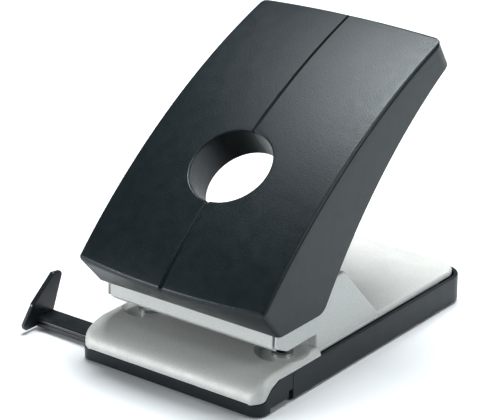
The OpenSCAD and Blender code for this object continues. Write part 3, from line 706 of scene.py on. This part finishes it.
class PUNCH_OT_paper_table(bpy.types.Operator):
    """Builds the silver paper table with its curved nose and the dished rings"""
    bl_idname = "punch.paper_table"
    bl_label = "Paper table"

    def execute(self, context):
        sizes = context.scene.punch_sizes
        nose_y = FRONT_Y + 18
        reach, rise = 17.6, TABLE_Z - LIP_Z - GAP
        base_z = LIP_Z + GAP
        half = BASE_X - 0.4
        corner = 6.2
        shoulder = 3.4
        sections = []
        places = [(nose_y - reach * math.cos(a), base_z + rise * math.sin(a))
                  for a in (math.radians(90 * i / 18) for i in range(19))]
        places += [(y, TABLE_Z) for y in (-14, -9, -4, 2, 7, STOP_Y - GAP / 2)]
        for y, top in places:
            into = max(0, corner - (y - places[0][0]))
            width = half - (corner - math.sqrt(max(0, corner ** 2 - into ** 2)))
            foot = self.side_height(y)
            height = max(top - foot, 0.02)
            bend = min(shoulder, height)
            row = [(width, y, foot)]
            row += [(width, y, foot + (height - bend) * k / 3) for k in (1, 2, 3)]
            row += [(width - bend * (1 - math.cos(math.radians(a))), y,
                     top - bend * (1 - math.sin(math.radians(a)))) for a in range(15, 91, 15)]
            flat = width - bend
            row += [(flat * k, y, top) for k in (0.9, 0.6, 0.3)]
            sections.append(row + [(0, y, top)] + [(-x, yy, z) for x, yy, z in reversed(row)])
        bm = bmesh.new()
        grid(bm, [[Vector(p) for p in section] for section in sections])
        bmesh.ops.recalc_face_normals(bm, faces=bm.faces)
        if max(bm.faces, key=lambda f: f.calc_center_median().z).normal.z < 0:
            bmesh.ops.reverse_faces(bm, faces=bm.faces)
        table = place(bm, "paper_table_moulding")
        wall = table.modifiers.new("Wall", "SOLIDIFY")
        wall.thickness = 2.3 * MM
        wall.offset = -1
        bake(table)
        ring = sizes.dish_radius / MM
        dish = [(ring - 5.2, -1.6), (ring - 2.6, -1.5), (ring - 1.4, -1.1), (ring - 0.5, -0.45),
                (ring - 0.15, -0.08), (ring + 0.1, 0.05), (ring + 0.1, 2), (0.01, 2)]
        for side in (-1, 1):
            profile = [(0.01, -6), (DIE_R + 0.02, -6), (DIE_R + 0.02, -1.62)] + dish
            combine(table, turned([(r, TABLE_Z + z) for r, z in profile], (side * PIN_X, 0)))
        finish_piece(table, "punch", silver_paint(context), "silver_paint", "paper_table", sharp=24)
        return {"FINISHED"}

    def side_height(self, y):
        """Height of the line where the silver table meets the black front base."""
        line = [(p[0] + 0.2, p[1] + GAP) for p in SIDE_LINE] + [(STOP_Y, RIM_Z + GAP)]
        if y <= line[0][0]:
            return line[0][1]
        for (y0, z0), (y1, z1) in zip(line, line[1:]):
            if y <= y1:
                return z0 + (z1 - z0) * (y - y0) / (y1 - y0)
        return line[-1][1]


class PUNCH_OT_front_base(bpy.types.Operator):
    """Builds the black front base with its lip and the channel of the paper guide"""
    bl_idname = "punch.front_base"
    bl_label = "Front base"

    def execute(self, context):
        channel_back = SEAM_Y - 1.1
        channel_front = channel_back - 13.1
        channel_top = 6.4
        side = [(FRONT_Y, BASE_BOTTOM)] + SIDE_LINE + [(SEAM_Y, RIM_Z), (SEAM_Y, BASE_BOTTOM)]
        base = place(prism(side, -BASE_X - 1, BASE_X + 1, "X"), "front_base_moulding")
        corner = 6.5
        plan = (arc((BASE_X - corner, FRONT_Y + corner), corner, -90, 0, 10)
                + [(BASE_X, SEAM_Y + 5), (-BASE_X, SEAM_Y + 5)]
                + arc((-BASE_X + corner, FRONT_Y + corner), corner, 180, 270, 10))
        combine(base, prism(plan, -2, 40, "Z"), "INTERSECT")
        inner = BASE_X - WALL
        combine(base, box((-inner, channel_front, channel_top + 1.6), (inner, SEAM_Y + 1, 30)))
        combine(base, box((-inner + 3, FRONT_Y + WALL, BASE_BOTTOM + 1.8),
                          (inner - 3, channel_front - 1.8, 30)))
        combine(base, box((-BASE_X - 1, channel_front, -1), (inner, channel_back, channel_top)))
        for sign in (-1, 1):
            combine(base, box((sign * BASE_X - 8, -27.4, -1), (sign * BASE_X + 8, SEAM_Y + 1, 3.1)))
        combine(base, box((BASE_X - 4, SEAM_Y - 3, -1), (BASE_X + 1, SEAM_Y + 1, 6.4)))
        keeper = node_box("guide_keeper")
        combine(base, box((keeper[0].x - 0.1, keeper[0].y - 0.1, -1),
                          (keeper[1].x + 0.1, keeper[1].y + 0.1, keeper[1].z)))
        foot = node_box("front_foot")
        middle = (foot[0].y + foot[1].y) / 2
        radius = (foot[1].y - foot[0].y) / 2 + 0.1
        end = foot[1].x + 0.1 - radius
        strip = (arc((end, middle), radius, -90, 90, 12) + arc((-end, middle), radius, 90, 270, 12))
        combine(base, prism(strip, -1, foot[1].z, "Z"))
        round_edges(base, context.scene.punch_sizes.moulded_edge / MM, steps=3, angle=35)
        finish_piece(base, "punch", base_abs(context), "black_plastic", "front_base")
        return {"FINISHED"}


class PUNCH_OT_chad_tray(bpy.types.Operator):
    """Builds the black tray that forms the base and catches the paper discs"""
    bl_idname = "punch.chad_tray"
    bl_label = "Chad tray"

    def plan(self, inset, height):
        front = SEAM_Y + GAP + inset
        corner = 12 - inset
        x = BASE_X - inset
        y = REAR_Y - inset
        outline = ([(x, front), (x, 30), (x, 80)]
                   + arc((x - corner, y - corner), corner, 0, 90, 14)
                   + arc((-x + corner, y - corner), corner, 90, 180, 14)
                   + [(-x, 80), (-x, 30), (-x, front)])
        return [(p[0], p[1], height) for p in outline]

    def execute(self, context):
        low, top = BASE_BOTTOM, RIM_Z
        rings = [self.plan(0.8, low), self.plan(0.25, low + 0.2), self.plan(0, low + 0.8)]
        rings += [self.plan(0, z) for z in (5, 10, top - 0.5)]
        rings += [self.plan(0.15, top - 0.15), self.plan(0.5, top)]
        rings += [self.plan(WALL - 0.4, top), self.plan(WALL - 0.1, top - 0.1)]
        rings += [self.plan(WALL, top - 0.4), self.plan(WALL, low + 3)]
        rings += [self.plan(WALL + 0.3, low + 2.3), self.plan(WALL + 1, low + 2)]
        tray = place(ring_stack(rings), "chad_tray_moulding")
        rails = node_box("tray_rails")
        combine(tray, box((-BASE_X + WALL, SEAM_Y - 1, rails[0].z - 0.4),
                          (BASE_X - WALL, SEAM_Y + GAP + WALL + 1.2, 30)))
        feet = node_box("rear_feet")
        radius = (feet[1].y - feet[0].y) / 2
        for sign in (-1, 1):
            centre = (sign * (feet[1].x - radius), (feet[0].y + feet[1].y) / 2)
            combine(tray, turned([(0.01, -1), (radius + 0.1, -1), (radius + 0.1, feet[1].z),
                                  (0.01, feet[1].z)], centre, 48))
            rib = sorted((sign * 46.9, sign * (BASE_X - WALL + 0.2)))
            combine(tray, box((rib[0], SEAM_Y + GAP + 4, rails[1].z - 1.6),
                              (rib[1], SEAM_Y + GAP + REAR_Y - 30, rails[1].z - 0.4)), "UNION")
        finish_piece(tray, "tray", base_abs(context), "black_plastic", "chad_tray")
        return {"FINISHED"}


class PUNCH_OT_housing(bpy.types.Operator):
    """Builds the silver housing: both cheeks, the rear slope and the deck"""
    bl_idname = "punch.housing"
    bl_label = "Housing"

    def deck_plan(self, inset, height, front):
        corner = 11 - inset
        x = BASE_X - WALL - GAP - inset
        y = REAR_Y - WALL - GAP - inset
        outline = ([(x, front)] + arc((x - corner, y - corner), corner, 0, 90, 14)
                   + arc((-x + corner, y - corner), corner, 90, 180, 14) + [(-x, front)])
        return [(p[0], p[1], height) for p in outline]

    def execute(self, context):
        foot_z = RIM_Z + GAP
        slope_top = (SLOPE_FOOT_Y - (SLOPE_TOP_Z - DECK_Z) * 0.92, SLOPE_TOP_Z)
        side = [(SEAM_Y, SLOT_TOP - 0.3), (STOP_Y, SLOT_TOP), (STOP_Y, foot_z),
                (SLOPE_FOOT_Y + 2, foot_z), (SLOPE_FOOT_Y + 2, DECK_Z - 1),
                (SLOPE_FOOT_Y, DECK_Z), slope_top, (-10, SLOPE_TOP_Z),
                (-17.7, SLOPE_TOP_Z - 3), (-18.5, SLOT_TOP + 3.7)]
        cover = place(prism(side, -CHEEK_X, CHEEK_X, "X"), "housing_moulding")
        round_edges(cover, 0.9, steps=4, angle=25)
        ledge = [self.deck_plan(0, z, STOP_Y + 0.2) for z in (foot_z, 16.0)]
        ledge += [self.deck_plan(0.2, 16.3, STOP_Y + 0.2), self.deck_plan(0.5, 16.4, STOP_Y + 0.2)]
        combine(cover, ring_stack(ledge), "UNION")
        deck = [self.deck_plan(0, z, SLOPE_FOOT_Y) for z in (foot_z, DECK_Z - 1.4)]
        deck += [self.deck_plan(1.4 * (1 - math.cos(math.radians(a))),
                                DECK_Z - 1.4 * (1 - math.sin(math.radians(a))), SLOPE_FOOT_Y)
                 for a in (22, 45, 68, 90)]
        combine(cover, ring_stack(deck), "UNION")
        inner = CHEEK_X - CHEEK_WALL
        hollow = [(-16.5, SLOT_TOP + CHEEK_WALL),
                  (STOP_Y + CHEEK_WALL, SLOT_TOP + CHEEK_WALL), (STOP_Y + CHEEK_WALL, 0),
                  (SLOPE_FOOT_Y + 6, 0), (SLOPE_FOOT_Y + 6, DECK_Z - CHEEK_WALL),
                  (SLOPE_FOOT_Y - 0.6, DECK_Z - CHEEK_WALL),
                  (slope_top[0] - 2, SLOPE_TOP_Z - CHEEK_WALL),
                  (slope_top[0] - 2, SLOPE_TOP_Z + 20), (-24, SLOPE_TOP_Z + 20), (-24, SLOT_TOP + 2.8)]
        combine(cover, prism(hollow, -inner, inner, "X"))
        combine(cover, box((-inner, SLOPE_FOOT_Y + 2, -1), (inner, REAR_Y - 10.6, DECK_Z - CHEEK_WALL)))
        for sign in (-1, 1):
            combine(cover, turned([(0.01, SLOT_TOP - 2), (4.6, SLOT_TOP - 2), (4.6, SLOT_TOP + 4),
                                   (0.01, SLOT_TOP + 4)], (sign * PIN_X, 0), 48))
        band = CHEEK_X - 2.2
        combine(cover, box((-band, -25, 0), (band, -16.3, 80)))
        finish_piece(cover, "punch", silver_paint(context), "silver_paint", "housing_cover", sharp=28)
        return {"FINISHED"}


class PUNCH_OT_front_band(bpy.types.Operator):
    """Builds the silver band across the front, below the lever's chin"""
    bl_idname = "punch.front_band"
    bl_label = "Front band"

    def execute(self, context):
        low, high = node_box("front_band")
        y, t = -18.9, 1.6
        base = SLOT_TOP
        side = [(y, base + 3.7), (y, base + 13.4), (y - 3.4, base + 19.4), (y - 4.7, base + 27.4),
                (y - 3, high.z), (y - 3 + t, high.z), (y - 4.7 + t, base + 27.4),
                (y - 3.4 + t, base + 19.7), (y + t, base + 13.7), (y + t, base + 4.9),
                (y + 3.2, base + 2), (y + 3.2, base + 1)]
        band = place(prism(side, low.x, high.x, "X"), "front_band_moulding")
        round_edges(band, 0.35, steps=3, angle=30)
        finish_piece(band, "punch", silver_paint(context), "silver_paint", "front_band")
        return {"FINISHED"}


class PUNCH_OT_paper_guide(bpy.types.Operator):
    """Builds the sliding guide bar with its ticks and paper stop"""
    bl_idname = "punch.paper_guide"
    bl_label = "Paper guide"

    def execute(self, context):
        low, high = BAR
        inner = low.x + 2.6
        y0 = SEAM_Y - 1.1 - 13.1 + 0.1
        y1 = y0 + 12.9
        z0, z1 = 1.3, 6.0
        side = [(y0 + 0.6, z0), (y1 - 0.4, z0), (y1, z0 + 0.4), (y1, z1 - 0.4), (y1 - 0.4, z1),
                (y0 + 0.7, z1), (y0, z1 - 0.7), (y0, z1 - 1.5), (y0 + 0.7, z1 - 1.8),
                (y0 + 0.7, z1 - 2.2), (y0, z1 - 2.5), (y0, z0 + 0.6)]
        bar = place(prism(side, inner - 0.5, high.x, "X"), "paper_guide_moulding")
        round_edges(bar, 0.25, steps=3, angle=30)
        for k in range(10):
            long = 6 if k % 2 == 0 else 3.6
            x = inner + 34 + 6 * k
            combine(bar, box((x, y0 + 3, z1 - 0.3), (x + 0.6, y0 + 3 + long, z1 + 1)))
        fin = ([(y1 - 0.4, z0)] + [(y1 - 0.4, z1)]
               + arc((y1 + 4.6, 23.1), 1.9, -20, 100, 8) + arc((y1 + 0.7, 24), 1.5, 90, 140, 5)
               + arc((y0 + 1.2, 11.4), 4, 137, 160, 6) + arc((y0 - 6.2, z0 + 3), 2.6, 165, 250, 10))
        plate = prism(fin, low.x, inner, "X")
        stop = place(plate, "stop")
        round_edges(stop, 0.7, steps=4, angle=40)
        combine(bar, stop, "UNION")
        finish_piece(bar, "paper_guide",
                     finish("abs_polished_guide", abs_polished,
                            list(context.scene.punch_finish.base_colour)),
                     "black_plastic", "guide_bar")
        return {"FINISHED"}


class PUNCH_OT_steel_parts(bpy.types.Operator):
    """Gives the steel mechanism, the screws, the feet and the inner mouldings their finishes"""
    bl_idname = "punch.steel_parts"
    bl_label = "Steel mechanism and small parts"

    def execute(self, context):
        zinc = finish("steel_zinc_plated", steel_zinc_plated, linear("#b9bbbc"))
        ground = finish("steel_ground", steel_ground, linear("#c4c6c8"), 0.24)
        spring = finish("steel_spring_oiled", steel_ground, linear("#8f9294"), 0.32)
        rubber = finish("rubber_moulded", rubber_moulded, linear("#17191a"))
        coats = {
            zinc: ["base_plate", "tray_rails", "side_plate_left", "side_plate_right", "guide_bridge",
                   "frame_rivets", "bridge_screws", "cover_screws", "lever_frame", "lever_screws"],
            ground: ["pin_guide_left", "pin_guide_right", "die_left", "die_right", "pivot_axle",
                     "press_bar", "punch_pin_left", "punch_pin_right"],
            spring: ["axle_clips", "detent_spring", "return_spring_left", "return_spring_right"],
            rubber: ["front_foot", "rear_feet"],
            base_abs(context): ["guide_keeper"],
            lever_abs(context): ["lever_cover"],
        }
        for material, nodes in coats.items():
            for name in nodes:
                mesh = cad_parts[name].data
                mesh.materials.clear()
                mesh.materials.append(material)
        return {"FINISHED"}


class PUNCH_OT_studio(bpy.types.Operator):
    """Builds the floor, the soft lights and the camera"""
    bl_idname = "punch.studio"
    bl_label = "Studio"

    def area_light(self, name, place_at, target, size, power, colour=(1, 1, 1)):
        data = bpy.data.lights.new(name, "AREA")
        data.shape = "RECTANGLE"
        data.size, data.size_y = size
        data.energy = power
        data.color = colour
        light = bpy.data.objects.new(name, data)
        light.location = place_at
        aim = Vector(target) - Vector(place_at)
        light.rotation_euler = aim.to_track_quat("-Z", "Y").to_euler()
        bpy.context.scene.collection.objects.link(light)
        return light

    def execute(self, context):
        bm = bmesh.new()
        bmesh.ops.create_grid(bm, x_segments=4, y_segments=4, size=4)
        mesh = bpy.data.meshes.new("floor")
        bm.to_mesh(mesh)
        bm.free()
        floor = bpy.data.objects.new("floor", mesh)
        context.scene.collection.objects.link(floor)
        colour = list(context.scene.punch_finish.floor_colour)
        mesh.materials.append(finish("studio_paper", floor_paper, colour))
        self.area_light("overhead_softbox", (-0.12, 0.4, 1.2), (-0.12, 0.4, 0), (0.9, 0.66), 31)
        self.area_light("front_softbox", (-1.0, -1.2, 0.4), (0, 0.05, 0.03), (0.9, 0.5), 19)
        self.area_light("right_fill", (1.3, 0.3, 1.0), (0, 0.08, 0.03), (0.6, 0.6), 8)
        world = bpy.data.worlds.new("studio_air")
        world.use_nodes = True
        world.node_tree.nodes["Background"].inputs["Color"].default_value = (0.85, 0.95, 1, 1)
        world.node_tree.nodes["Background"].inputs["Strength"].default_value = 0.1
        context.scene.world = world
        context.scene.view_settings.view_transform = "Standard"
        data = bpy.data.cameras.new("camera")
        data.lens = 174.46
        data.sensor_width = 36
        data.clip_start = 0.05
        data.clip_end = 20
        camera = bpy.data.objects.new("camera", data)
        forward = Vector((-0.5666, 0.7318, -0.3787)).normalized()
        up = Vector((-0.2318, 0.2994, 0.9255))
        right = forward.cross(up).normalized()
        up = right.cross(forward)
        turn = Matrix((right, up, -forward)).transposed().to_4x4()
        camera.matrix_world = Matrix.Translation((0.6186, -0.7793 + pin_line() * MM, 0.4851)) @ turn
        context.scene.collection.objects.link(camera)
        context.scene.camera = camera
        return {"FINISHED"}


class PUNCH_PT_pieces(bpy.types.Panel):
    """Lists the pieces of the punch and their sizes and colours"""
    bl_idname = "PUNCH_PT_pieces"
    bl_label = "Hole punch"
    bl_space_type = "VIEW_3D"
    bl_region_type = "UI"
    bl_category = "Hole punch"

    def draw(self, context):
        for group in (context.scene.punch_sizes, context.scene.punch_finish):
            for name in group.__annotations__:
                self.layout.prop(group, name)
        for operator in OPERATORS:
            self.layout.operator(operator.bl_idname)


OPERATORS = (
    PUNCH_OT_lever_shell,
    PUNCH_OT_housing,
    PUNCH_OT_front_band,
    PUNCH_OT_paper_table,
    PUNCH_OT_front_base,
    PUNCH_OT_chad_tray,
    PUNCH_OT_paper_guide,
    PUNCH_OT_steel_parts,
    PUNCH_OT_studio,
)
CLASSES = (PunchSizes, PunchFinish, *OPERATORS, PUNCH_PT_pieces)


def register():
    for item in CLASSES:
        bpy.utils.register_class(item)
    bpy.types.Scene.punch_sizes = bpy.props.PointerProperty(type=PunchSizes)
    bpy.types.Scene.punch_finish = bpy.props.PointerProperty(type=PunchFinish)


def unregister():
    del bpy.types.Scene.punch_sizes
    del bpy.types.Scene.punch_finish
    for item in reversed(CLASSES):
        bpy.utils.unregister_class(item)


def main():
    register()
    for operator in OPERATORS:
        group, name = operator.bl_idname.split(".")
        result = getattr(getattr(bpy.ops, group), name)()
        if result != {"FINISHED"}:
            raise RuntimeError(operator.bl_label + " wasn't built")
    bpy.context.view_layer.update()


if __name__ == "__main__":
    main()
